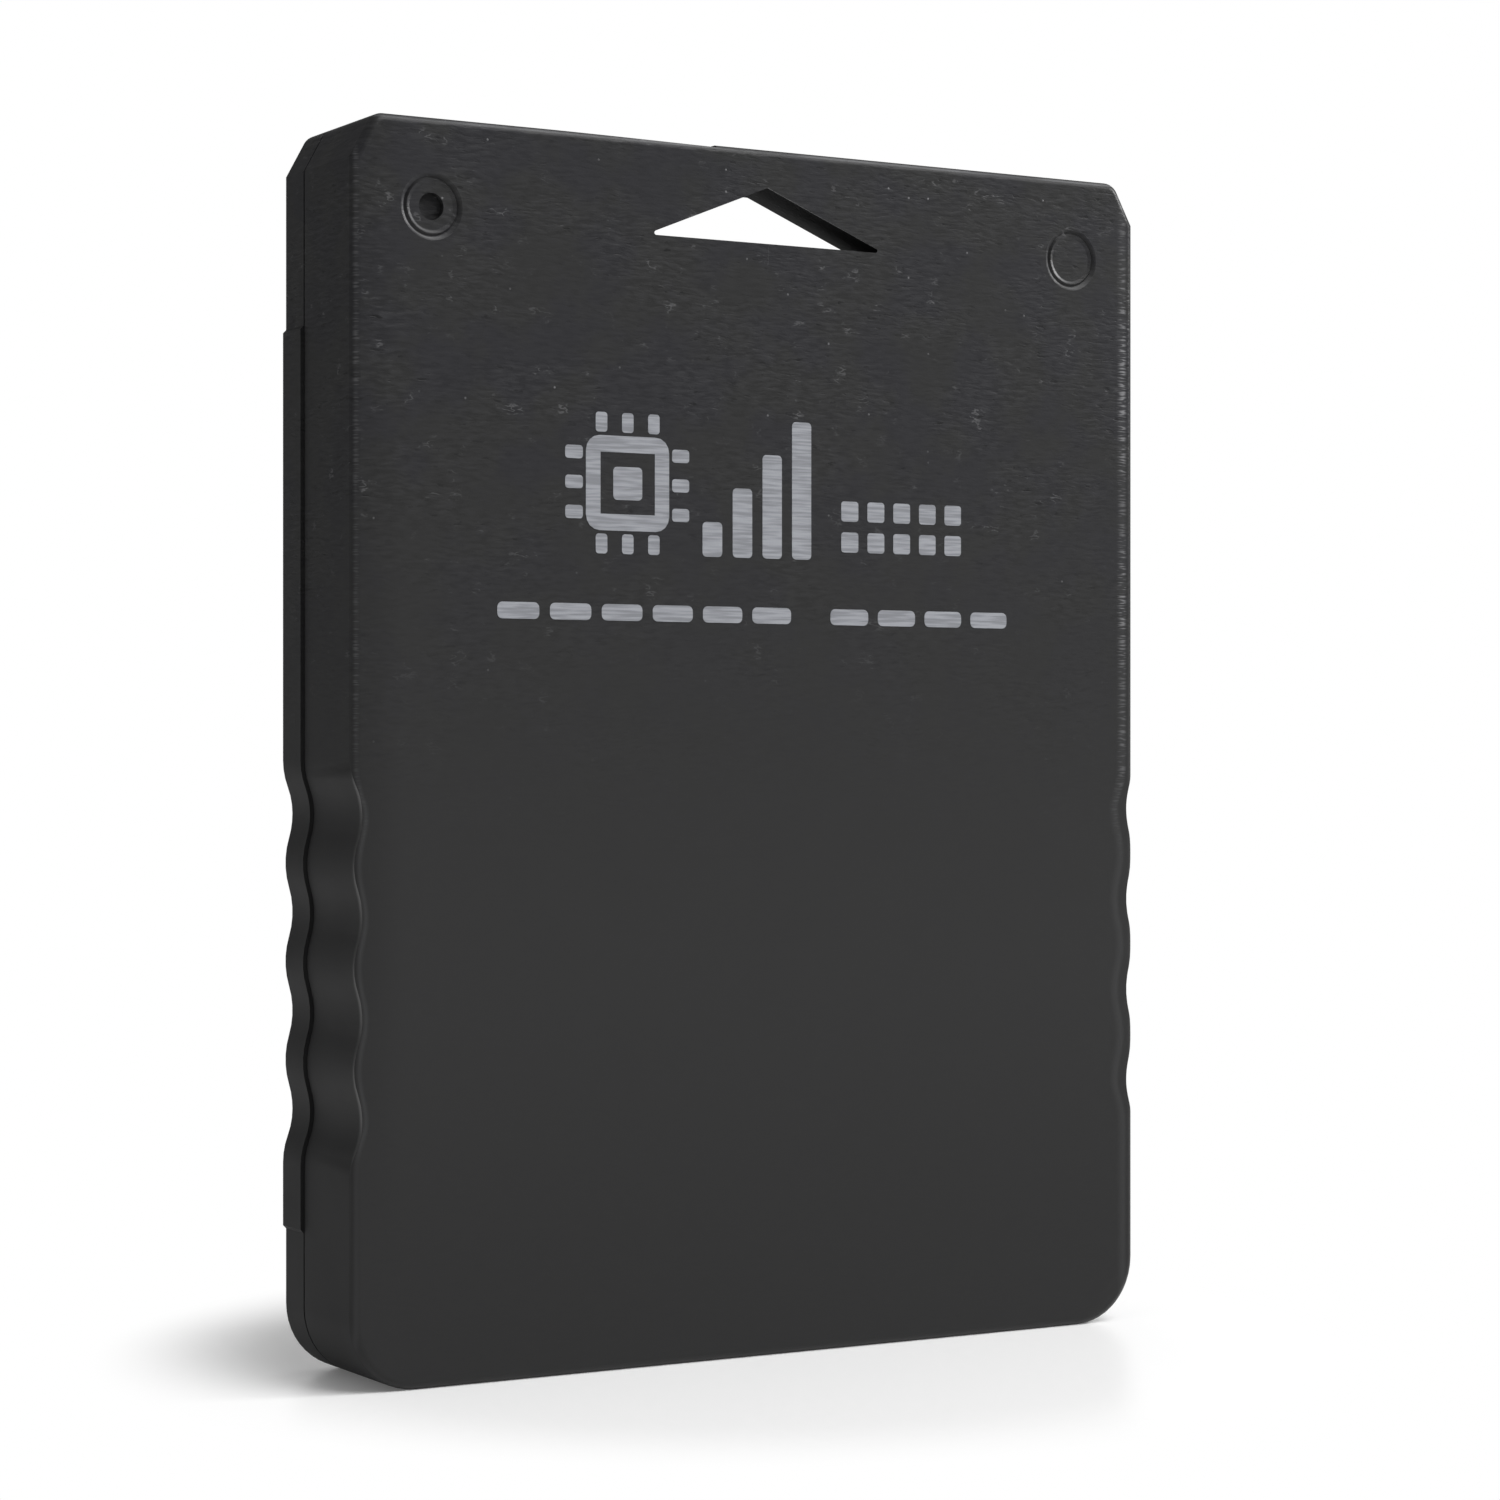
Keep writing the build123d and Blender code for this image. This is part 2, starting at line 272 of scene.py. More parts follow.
@dataclass(frozen=True)
class CasePlastic:
    """Charcoal moulded plastic, smooth below, finely wrinkled and scuffed above, with painted highlights at
    the front edges and marks and painted shade at the foot, the sides and in hollows.

    Attributes:
        case: Box of the front half.
        rear: Depth of the rear face.
        plain: Colour of the smooth plastic.
        foot: Colour of the foot: painted shade, darker towards the bottom.
        cool: Colour of the bluish patches of the upper part.
        pale: Colour of the backs of the wrinkles.
        dark: Colour of the pores, of the dark left margin, and of the painted shade on the sides, in the
            grooves of the marks and on the walls inside the strap hole.
        scuff_and_highlight: Colour of scratches, and of the painted highlights on the front edges and on the
            rims of the marks.
        matt: Roughness that the sides and the rear add.
        relief_depth: Depth in millimetres of the strongest wrinkles.
        wear_from: Height at which the wrinkles begin.
        wear_full: Height from which they have their full strength.
        foot_shade_to: Height up to which the painted shade at the foot reaches.
        edge: Depths behind the face at which the sides begin and have their full painted shade and added
            roughness.
        margin: Distances from the left side at which its dark margin ends and is full.
        left_highlight_strip: Nearest, fullest and farthest distance from the side of the painted highlight
            strip on the left.
        right_highlight_strip: The same for the painted highlight strip on the right.
        ticks_from: Height at which fine ticks begin to cross the strips.
        ticks_full: Height from which they have their full strength.
        top_highlight_inset: Distance of the painted highlight line below the top.
        top_highlight_reach: Half its width.
        wave_low: Height of the lowest trough of the finger waves.
        wave_pitch: Distance from trough to trough.
        wave_mean: Mean depth of the waves.
        wave_swing: Half the difference between troughs and crests.
        wave_fade: Height over which the waves end.
        mark: Middle of the right round mark, across and up. The left one mirrors it.
        highlit_rims: Radii of the rims of the marks that carry a painted highlight.
        groove: Radius of the painted shade in the groove between them.
        shadow_arc: Radius of the painted shadow in its upper right.
        hole_reach: Distance to each side that the strap hole keeps within.
        hole_foot: Height of the foot of the strap hole.
        hole_top: Height of the wall over it.
    """

    name: str
    case: Box
    rear: float
    plain: Colour = tone(44, 44, 44)
    foot: Colour = tone(36, 36, 36)
    cool: Colour = tone(41, 41, 44)
    pale: Colour = tone(76, 76, 78)
    dark: Colour = tone(18, 18, 19)
    scuff_and_highlight: Colour = tone(150, 150, 152)
    roughness: float = 0.36
    matt: float = 0.3
    specular: float = 0.2
    relief_depth: float = 0.034
    wear_from: float = 22.0
    wear_full: float = 46.0
    foot_shade_to: float = 20.0
    edge: Point = (0.1, 0.38)
    margin: Point = (2.8, 0.4)
    left_highlight_strip: tuple[float, float, float] = (0.03, 0.17, 0.38)
    right_highlight_strip: tuple[float, float, float] = (0.4, 0.65, 1.1)
    ticks_from: float = 22.0
    ticks_full: float = 34.0
    top_highlight_inset: float = 0.15
    top_highlight_reach: float = 0.09
    wave_low: float = 11.9
    wave_pitch: float = 4.45
    wave_count: int = 4
    wave_mean: float = 0.29
    wave_swing: float = 0.17
    wave_fade: float = 2.4
    mark: Point = (17.2, 52.05)
    highlit_rims: Point = (1.39, 1.12)
    groove: float = 1.26
    shadow_arc: float = 1.34
    hole_reach: float = 11.9
    hole_foot: float = 51.58
    hole_top: float = 55.05

    def material(self) -> bpy.types.Material:
        """Build the plastic.

        Returns:
            The material.
        """
        material, graph = new_graph(self.name)
        place = graph.place()
        across, depth, up = graph.split(place)
        cloud = graph.noise(place, 0.3, 3.0)
        patches = graph.noise(graph.join(0.22 * across, 0.2 * depth, 0.34 * up), 1.0, 2.0).ramp(0.38, 0.62)
        upper = up.ramp(self.wear_from, self.wear_full)
        wear = upper * (0.3 + 0.7 * patches)
        wrinkle = self.wrinkles(graph, across, depth, up) * (0.05 + 0.95 * wear)
        scratch, pore = self.scuffs(graph, across, depth, up)
        front, side = float(self.case.low[1]), float(self.case.high[0])
        upper_part = up.ramp(0.0, self.foot_shade_to)
        # Share of the sides, which get painted shade and added roughness.
        beside = depth.ramp(front + self.edge[0], front + self.edge[1])
        margin = across.ramp(self.margin[0] - side, self.margin[1] - side) * upper_part
        highlit_rims, groove_shade = self.rings(graph, across, up)
        # Painted highlights along the front edges and on the rims of the marks, kept to the face.
        rubbed_and_highlight = (self.edge_highlights(graph, across, up) + highlit_rims) * depth.ramp(front + 0.4, front + 0.2)
        inside = self.hole_walls(across, depth, up)
        # Painted shade: the plastic is darker towards the foot.
        body = graph.blend(upper_part, self.foot, self.plain)
        body = graph.blend(upper * cloud.ramp(0.4, 0.6), body, self.cool)
        body = graph.blend(0.06 + 0.8 * wrinkle, body, self.pale)
        # Painted shade on the sides and on the walls inside the strap hole; the pores and the troughs of the
        # wrinkles darken too.
        shade = 0.6 * pore * wear - 0.9 * wrinkle + 0.4 * beside + 1.6 * inside
        # Painted shade in the grooves of the marks, and the dark left margin, both kept off the sides.
        shade = shade + (groove_shade + 0.28 * margin) * (1.0 - beside)
        body = graph.blend(shade, body, self.dark)
        # Scratches and specks in the pale scuff colour, and the painted highlights in the same colour.
        body = graph.blend(0.2 * scratch * wear + rubbed_and_highlight, body, self.scuff_and_highlight)
        grain = graph.noise(place, 9.0, 2.0)
        height = 0.03 * grain + wrinkle + 0.12 * scratch * wear - 0.2 * pore * wear + 0.1 * rubbed_and_highlight
        graph.finish({
            "Base Color": body,
            "Roughness": self.roughness + 0.1 * (cloud - 0.5) + self.matt * (beside + inside),
            "Specular IOR Level": self.specular,
            "Normal": graph.relief(height, self.relief_depth),
        })
        return material

    def wrinkles(self, graph: NodeGraph, across: Value, depth: Value, up: Value) -> Value:
        """Give fine wrinkles that lie nearly level: noise stretched across and bent by a broader noise.

        Args:
            graph: Graph of the material.
            across: Distance across.
            depth: Distance through the thickness.
            up: Height.

        Returns:
            Height of the wrinkles from about -0.4 to 0.4.
        """
        bend = graph.noise(graph.join(0.6 * across, depth, 0.8 * up), 1.0, 2.0)
        return graph.noise(graph.join(1.5 * across + bend, depth, 6.5 * up + 2.0 * bend), 1.0, 4.0) - 0.5

    def scuffs(self, graph: NodeGraph, across: Value, depth: Value, up: Value) -> tuple[Value, Value]:
        """Give short curved scratches and ragged pores.

        A scratch is a piece of the middle contour of a fine noise, kept where a broader noise is high,
        and a few scattered specks are added to them. The pores are the lowest parts of the fine noise.

        Args:
            graph: Graph of the material.
            across: Distance across.
            depth: Distance through the thickness.
            up: Height.

        Returns:
            1 in a scratch and 0 elsewhere, and the same for the pores.
        """
        flecks = graph.noise(graph.join(1.4 * across, depth, 4.2 * up), 1.0, 2.0)
        clusters = graph.noise(graph.join(0.9 * across, depth, 1.1 * up), 1.0, 4.0)
        scratch = flecks.near(0.5, 0.05) * clusters.ramp(0.6, 0.7)
        reach, chance = graph.dots(graph.join(across, up), 0.9)
        speck = reach.ramp(0.06, 0.03) * chance.ramp(0.96, 0.97)
        return scratch + 2.0 * speck, flecks.ramp(0.37, 0.27)

    def edge_highlights(self, graph: NodeGraph, across: Value, up: Value) -> Value:
        """Give the painted highlights: pale strips along the long front edges and a thin line along the upper
        one.

        A strip keeps its distance from the side, whose waves are a cosine of the height. Fine ticks cross its
        upper part.

        Args:
            graph: Graph of the material.
            across: Distance across.
            up: Height.

        Returns:
            Strength of the painted highlights.
        """
        side, top = float(self.case.high[0]), float(self.case.high[2])
        first = self.wave_low
        last = first + (self.wave_count - 1) * self.wave_pitch
        waved = up.ramp(first - self.wave_fade, first) * up.ramp(last + self.wave_fade, last)
        wave = (2 * math.pi / self.wave_pitch * (up - first)).cosine()
        limit = side - waved * (self.wave_mean + self.wave_swing * wave)
        # Painted highlight strips on the rounds of the left and right front edges, crossed by painted ticks
        # in their upper part.
        left, right = (
            gap.ramp(strip[0], strip[1]) * gap.ramp(strip[2], strip[1])
            for gap, strip in ((limit + across, self.left_highlight_strip), (limit - across, self.right_highlight_strip))
        )
        ticks = graph.noise(graph.join(1.5 * across, 12.0 * up), 1.0, 0.0).ramp(0.5, 0.66)
        tick_patches = graph.noise(graph.join(0.05 * across, 0.12 * up), 1.0, 1.0).ramp(0.35, 0.65)
        ticked = ticks * up.ramp(self.ticks_from, self.ticks_full)
        left = (0.045 + (0.09 + 0.08 * tick_patches) * ticked) * left
        right = (0.045 + (0.2 + 0.4 * tick_patches) * ticked) * right
        # Painted highlight line along the top front edge.
        top_highlight_patches = graph.noise(graph.join(0.22 * across, 0.1 * up), 1.0, 2.0).ramp(0.3, 0.6)
        line = (0.16 + 0.2 * top_highlight_patches) * up.near(top - self.top_highlight_inset, self.top_highlight_reach)
        return left + right + line

    def rings(self, graph: NodeGraph, across: Value, up: Value) -> tuple[Value, Value]:
        """Give the painted highlights on the rims of the round marks and the painted shade in their grooves.

        Both are bands at a distance from the middle of the nearer mark. The rims carry the painted highlight
        at their lower left, and the painted shadow is thickest at the upper right.

        Args:
            graph: Graph of the material.
            across: Distance across.
            up: Height.

        Returns:
            Strength of the painted highlight and of the painted shade.
        """
        aside = across - self.mark[0] * (2.0 * across.ramp(-1.0, 1.0) - 1.0)
        over = up - self.mark[1]
        reach = graph.length(graph.join(aside, over))
        upper_right = 0.7 * aside + 0.7 * over
        # Painted highlight on the rims at the lower left of each mark.
        highlit_rims = reach.near(self.highlit_rims[0], 0.06) + reach.near(self.highlit_rims[1], 0.06)
        highlit_rims = highlit_rims * upper_right.ramp(-0.4, -1.2)
        # Painted shadow arc in the upper right of each groove, over a band of painted shade all round it.
        shadow_arc = reach.near(self.shadow_arc, 0.14) * upper_right.ramp(0.3, 1.1)
        return 0.25 * highlit_rims, 0.5 * reach.near(self.groove, 0.1) + 0.6 * shadow_arc

    def hole_walls(self, across: Value, depth: Value, up: Value) -> Value:
        """Give 1 on the walls of the strap hole, between the face and the rear, and 0 elsewhere.

        Args:
            across: Distance across.
            depth: Distance through the thickness.
            up: Height.

        Returns:
            The share of the walls.
        """
        front = float(self.case.low[1])
        deep = depth.ramp(front + 0.02, front + 0.2) * depth.ramp(self.rear - 0.02, self.rear - 0.1)
        tall = up.ramp(self.hole_foot - 0.05, self.hole_foot) * up.ramp(self.hole_top + 0.05, self.hole_top)
        return deep * tall * abs(across).ramp(self.hole_reach + 0.1, self.hole_reach)


@dataclass(frozen=True)
class PrintInk:
    """Silver-grey printing ink, drawn into faint level streaks."""

    name: str = "silver_ink"
    pale: Colour = tone(158, 160, 166)
    thin: Colour = tone(132, 134, 139)
    roughness: float = 0.45

    def material(self) -> bpy.types.Material:
        """Build the ink.

        Returns:
            The material.
        """
        material, graph = new_graph(self.name)
        place = graph.place()
        across, depth, up = graph.split(place)
        lines = graph.noise(graph.join(0.5 * across, depth, 8.0 * up), 1.0, 2.0)
        colour = graph.blend(lines.ramp(0.35, 0.65), self.thin, self.pale)
        graph.finish({
            "Base Color": colour,
            "Roughness": self.roughness + 0.2 * (lines - 0.5),
            "Specular IOR Level": 0.3,
            "Normal": graph.relief(graph.noise(place, 12.0), 0.004),
        })
        return material


@dataclass(frozen=True)
class BoardLaminate:
    """Green solder mask over glass laminate, whose pale core shows at the cut edges."""

    name: str
    board: Box
    mask: Colour = tone(22, 82, 50)
    mask_light: Colour = tone(38, 104, 62)
    core: Colour = tone(150, 140, 96)
    skin: float = 0.06

    def material(self) -> bpy.types.Material:
        """Build the laminate.

        Returns:
            The material.
        """
        material, graph = new_graph(self.name)
        place = graph.place()
        across, depth, up = graph.split(place)
        weave = graph.noise(graph.join(2.2 * across, depth, 2.2 * up), 1.0, 1.0)
        cloud = graph.noise(place, 0.25)
        front_skin = depth.ramp(self.board.low[1], self.board.low[1] + self.skin)
        rear_skin = depth.ramp(self.board.high[1], self.board.high[1] - self.skin)
        mask = graph.blend(0.6 * cloud + 0.4 * weave, self.mask, self.mask_light)
        graph.finish({
            "Base Color": graph.blend(front_skin * rear_skin, mask, self.core),
            "Roughness": 0.36 + 0.14 * weave,
            "Normal": graph.relief(weave, 0.006),
        })
        return material


@dataclass(frozen=True)
class ContactGold:
    """Gold plate with long insertion scratches and duller ends."""

    name: str
    strips: Box
    plate: Colour = tone(226, 186, 108)
    rubbed_and_highlight: Colour = tone(198, 150, 84)

    def material(self) -> bpy.types.Material:
        """Build the gold plate.

        Returns:
            The material.
        """
        material, graph = new_graph(self.name)
        place = graph.place()
        across, depth, up = graph.split(place)
        scratches = graph.noise(graph.join(9.0 * across, depth, 0.35 * up), 1.0, 2.0)
        cloud = graph.noise(place, 0.6, 3.0)
        strips = self.strips
        low, middle, high = (float(corner[2]) for corner in (strips.low, strips.middle, strips.high))
        wiped = up.ramp(low, middle) * up.ramp(high, middle)
        dull = scratches.ramp(0.42, 0.66) * (0.3 + 0.7 * wiped) + 0.4 * cloud.ramp(0.5, 0.75)
        graph.finish({
            "Base Color": graph.blend(dull, self.plate, self.rubbed_and_highlight),
            "Metallic": 1.0,
            "Roughness": 0.22 + 0.2 * dull,
            "Normal": graph.relief(scratches, 0.004),
        })
        return material


@dataclass(frozen=True)
class ChipEpoxy:
    """Matt black package with a spark-eroded grain and a sunk dot beside its first lead."""

    name: str
    package: Box
    black: Colour = tone(30, 30, 32)
    grey: Colour = tone(44, 44, 46)
    dot_inset: float = 1.2
    dot_radius: float = 0.4

    def material(self) -> bpy.types.Material:
        """Build the epoxy.

        Returns:
            The material.
        """
        material, graph = new_graph(self.name)
        place = graph.place()
        across, depth, up = graph.split(place)
        grain = graph.noise(place, 7.0, 3.0)
        from_left = across - (self.package.low[0] + self.dot_inset)
        from_low = up - (self.package.low[2] + self.dot_inset)
        spread = from_left * from_left + from_low * from_low
        dot = spread.ramp(1.2 * self.dot_radius**2, 0.8 * self.dot_radius**2)
        graph.finish({
            "Base Color": graph.blend(0.8 * grain + 0.2 * dot, self.black, self.grey),
            "Roughness": 0.72 - 0.25 * dot,
            "Normal": graph.relief(0.4 * grain - dot, 0.03),
        })
        return material


@dataclass(frozen=True)
class LeadTin:
    """Tinned lead frame, cloudy and softly bright."""

    name: str = "tinned_lead"
    bright: Colour = tone(214, 214, 211)
    cloudy: Colour = tone(176, 177, 176)

    def material(self) -> bpy.types.Material:
        """Build the tin.

        Returns:
            The material.
        """
        material, graph = new_graph(self.name)
        place = graph.place()
        cloud = graph.noise(place, 3.5, 3.0)
        graph.finish({
            "Base Color": graph.blend(cloud, self.bright, self.cloudy),
            "Metallic": 1.0,
            "Roughness": 0.26 + 0.2 * cloud,
            "Normal": graph.relief(cloud, 0.01),
        })
        return material


class Along(Enum):
    """Direction in which a small ceramic part lies on the board."""

    ACROSS = 0
    UP = 2


@dataclass(frozen=True)
class CeramicPart:
    """Small ceramic part with a tinned cap at each end."""

    name: str
    part: Box
    along: Along
    body: Colour
    speckle: Colour
    cap: Colour = tone(206, 206, 203)
    cap_share: float = 0.22

    def material(self) -> bpy.types.Material:
        """Build the ceramic and its caps.

        Returns:
            The material.
        """
        material, graph = new_graph(self.name)
        place = graph.place()
        grain = graph.noise(place, 6.0, 3.0)
        axis = self.along.value
        reach = abs(graph.split(place)[axis] - float(self.part.middle[axis]))
        cap_from = float(self.part.size[axis]) * (0.5 - self.cap_share)
        cap = reach.ramp(cap_from - 0.02, cap_from + 0.02)
        graph.finish({
            "Base Color": graph.blend(cap, graph.blend(grain, self.body, self.speckle), self.cap),
            "Metallic": cap,
            "Roughness": 0.42 + 0.15 * grain - 0.12 * cap,
            "Normal": graph.relief(grain, 0.01),
        })
        return material


@dataclass(frozen=True)
class StudioPaper:
    """Pale floor that keeps the card's shadow near it and runs into white farther out.

    Attributes:
        paper: Colour that lights the card.
        white: Colour that is seen, and that of the plain white far from the card.
        black: Colour that adds nothing.
        glow: Strength of the white that is seen besides the lit paper.
        near: Distance in millimetres up to which the paper keeps its shadows.
        far: Distance from which it is plain white.
    """

    name: str = "studio_paper"
    paper: Colour = tone(220, 220, 220)
    white: Colour = (1.0, 1.0, 1.0, 1.0)
    black: Colour = (0.0, 0.0, 0.0, 1.0)
    glow: float = 0.09
    near: float = 20.0
    far: float = 30.0

    def material(self) -> bpy.types.Material:
        """Build the floor.

        Returns:
            The material.
        """
        material, graph = new_graph(self.name)
        place = graph.place()
        fibre = graph.noise(place, 1.5, 2.0)
        path = graph.add("ShaderNodeLightPath").outputs
        kinds = ("Is Camera Ray", "Is Glossy Ray", "Is Transmission Ray")
        camera, glossy, through = (Value(graph, path[kind]) for kind in kinds)
        looked_at = (camera + glossy + through).ramp(0.0, 1.0)
        shader = graph.add("ShaderNodeBsdfPrincipled", None, {
            "Base Color": graph.blend(looked_at, self.paper, self.white),
            "Roughness": 0.3 + 0.1 * fibre,
            "Specular IOR Level": 0.25,
            "Emission Color": graph.blend(looked_at, self.black, self.white),
            "Emission Strength": self.glow,
        })
        blank = graph.add("ShaderNodeEmission", None, {"Color": self.white, "Strength": 1.0})
        share = looked_at * graph.length(place).ramp(self.near, self.far)
        mix = graph.add("ShaderNodeMixShader", None, {0: share, 1: shader.outputs[0], 2: blank.outputs[0]})
        graph.add("ShaderNodeOutputMaterial", None, {"Surface": mix.outputs[0]})
        return material


def grid_quads(rows: int, columns: int, first: int = 0) -> np.ndarray:
    """Number the corners of the quads of a grid whose columns close on themselves.

    A quad joins a point, the next in its row and the two after them in the next row.

    Args:
        rows: Number of rows of points.
        columns: Number of points in a row.
        first: Number of the first point.

    Returns:
        Four point numbers for each quad.
    """
    row, column = np.meshgrid(np.arange(rows - 1), np.arange(columns), indexing="ij")
    beside = (column + 1) % columns
    this = row * columns
    after = this + columns
    corners = (this + column, this + beside, after + beside, after + column)
    return first + np.stack(corners, axis=-1).reshape(-1, 4)


def rounded_outline(width: float, height: float, radius: float, steps: int) -> np.ndarray:
    """Give the outline of a rounded rectangle about the origin, anticlockwise.

    Each point is the centre of its corner plus the corner's radius along the point's angle, so the points lie
    on four quarter circles that straight sides join.

    Args:
        width: Width over all.
        height: Height over all.
        radius: Radius of the corners.
        steps: Points on each corner.

    Returns:
        One row for each point.
    """
    quarter = np.repeat(np.arange(4), steps)
    angle = (quarter + np.tile(np.linspace(0, 1, steps), 4)) * math.pi / 2
    middle = (quarter + 0.5) * math.pi / 2
    signs = np.sign(np.column_stack((np.cos(middle), np.sin(middle))))
    corner = signs * (np.array((width, height)) / 2 - radius)
    return corner + radius * np.column_stack((np.cos(angle), np.sin(angle)))


@dataclass
class Relief:
    """Thin closed plates and bands that stand proud of a flat face, gathered into one mesh.

    Attributes:
        face: Depth of the face.
        outward: Side that the relief stands out to, -1 for the printed face and 1 for the rear.
        proud: Height over the face.
        sunk: Depth of the underside below the face.
        bevel: Width of the slope at the rim.
        steps: Points on each rounded corner.
        least_radius: Smallest radius that moving in leaves of a corner.
    """

    face: float
    outward: int
    proud: float
    sunk: float = 0.004
    bevel: float = 0.006
    steps: int = 5
    least_radius: float = 0.01
    points: list[np.ndarray] = field(default_factory=list)
    faces: list[list[int]] = field(default_factory=list)
    count: int = 0

    def ring(self, centre: Point, size: Point, radius: float, inset: float, height: float) -> np.ndarray:
        """Give one ring of points: the rounded outline, moved in by the inset, at a height over the face.

        Args:
            centre: Middle of the outline, across and up.
            size: Width and height of the outline.
            radius: Radius of its corners.
            inset: Distance that it is moved in.
            height: Height over the face.

        Returns:
            One row for each point, in millimetres.
        """
        wide, tall = (length - 2 * inset for length in size)
        flat = rounded_outline(wide, tall, max(radius - inset, self.least_radius), self.steps)
        depth = np.full(len(flat), self.face + self.outward * height)
        return np.column_stack((flat[:, 0] + centre[0], depth, flat[:, 1] + centre[1]))

    def keep(self, rings: list[np.ndarray], quads: np.ndarray, caps: list[np.ndarray]) -> None:
        """Take up a finished form, turned so that its faces point outwards.

        Args:
            rings: Rows of points.
            quads: Faces between the rows.
            caps: Faces that close the first and the last row.
        """
        turn = -self.outward
        self.points += rings
        self.faces += [list(map(int, face[::turn])) for face in [*quads, *caps]]
        self.count += sum(len(ring) for ring in rings)

    def plate(self, centre: Point, size: Point, radius: float) -> None:
        """Add a solid plate: a rim that rises, a slope inwards and a flat top, closed below.

        Args:
            centre: Middle of the plate, across and up.
            size: Width and height.
            radius: Radius of the corners.
        """
        section = ((0.0, -self.sunk), (0.0, self.proud - self.bevel), (self.bevel, self.proud))
        rings = [self.ring(centre, size, radius, inset, height) for inset, height in section]
        columns = len(rings[0])
        top = self.count + (len(rings) - 1) * columns + np.arange(columns)
        under = self.count + np.arange(columns)[::-1]
        self.keep(rings, grid_quads(len(rings), columns, self.count), [top, under])

    def band(self, centre: Point, size: Point, radius: float, stroke: float) -> None:
        """Add a band of even width: its section is carried along the rounded outline and closes below.

        Args:
            centre: Middle of the outline, across and up.
            size: Width and height over all.
            radius: Radius of the outer corners.
            stroke: Width of the band.
        """
        rise = self.proud - self.bevel
        section = (
            (0.0, -self.sunk), (0.0, rise), (self.bevel, self.proud),
            (stroke - self.bevel, self.proud), (stroke, rise), (stroke, -self.sunk),
        )
        rings = [self.ring(centre, size, radius, inset, height) for inset, height in section]
        columns = len(rings[0])
        quads = grid_quads(len(rings) + 1, columns)
        self.keep(rings, self.count + quads % (len(rings) * columns), [])

    def build(self, name: str, material: bpy.types.Material) -> bpy.types.Object:
        """Make the piece of all that was added and let it ride on the card.

        Args:
            name: Name of the piece.
            material: Its finish.

        Returns:
            The new piece.
        """
        mesh = bpy.data.meshes.new(name)
        mesh.from_pydata((np.vstack(self.points) * MM).tolist(), [], self.faces)
        return add_piece(name, mesh, material)


def add_piece(name: str, mesh: bpy.types.Mesh, material: bpy.types.Material) -> bpy.types.Object:
    """Put a mesh into the scene as a piece that rides on the card.

    Args:
        name: Name of the piece.
        mesh: Its mesh, in the card's frame.
        material: Its finish.

    Returns:
        The new piece.
    """
    mesh.materials.append(material)
    piece = bpy.data.objects.new(name, mesh)
    bpy.context.scene.collection.objects.link(piece)
    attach(piece, BODY)
    log.info("%s: %d faces", name, len(mesh.polygons))
    return piece


def merged_mesh(node: str, name: str) -> bpy.types.Mesh:
    """Copy a solid's loose triangles into a mesh whose triangles share their corners.

    Corners that agree to a ten-thousandth of a millimetre are one point, and triangles that then have two
    equal corners are dropped.

    Args:
        node: Name of the solid.
        name: Name of the new mesh.

    Returns:
        The merged mesh.
    """
    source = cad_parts[node].data
    points = np.empty(3 * len(source.vertices))
    source.vertices.foreach_get("co", points)
    corners = np.empty(len(source.loops), dtype=int)
    source.loops.foreach_get("vertex_index", corners)
    points = points.reshape(-1, 3)
    kept, first, shared = np.unique(np.round(points / MM, 4), axis=0, return_index=True, return_inverse=True)
    triangles = shared.reshape(-1)[corners].reshape(-1, 3)
    whole = (triangles != np.roll(triangles, 1, axis=1)).all(axis=1)
    mesh = bpy.data.meshes.new(name)
    mesh.from_pydata(points[first].tolist(), [], triangles[whole].tolist())
    return mesh


def dress(node: str, material: bpy.types.Material) -> None:
    """Give a solid that stays in view its finish."""
    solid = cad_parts[node]
    solid.material_slots[0].material = material
    log.info("%s: %s", node, material.name)


@dataclass
class CaseHalves:
    """Both moulded halves, as smooth copies of their solids.

    Attributes:
        sharp_angle: Turn in degrees past which an edge stays sharp.
    """

    sharp_angle: float = 14.0

    def build(self) -> None:
        """Build the halves with one plastic."""
        rear = float(Box.of("rear_shell").high[1])
        plastic = CasePlastic("charcoal_plastic", Box.of("front_shell"), rear).material()
        for node, name in (("front_shell", "front_half"), ("rear_shell", "rear_half")):
            mesh = merged_mesh(node, name)
            mesh.shade_smooth()
            mesh.set_sharp_from_angle(angle=math.radians(self.sharp_angle))
            half = add_piece(name, mesh, plastic)
            normals = half.modifiers.new("even_normals", "WEIGHTED_NORMAL")
            normals.keep_sharp = True
            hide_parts(node)


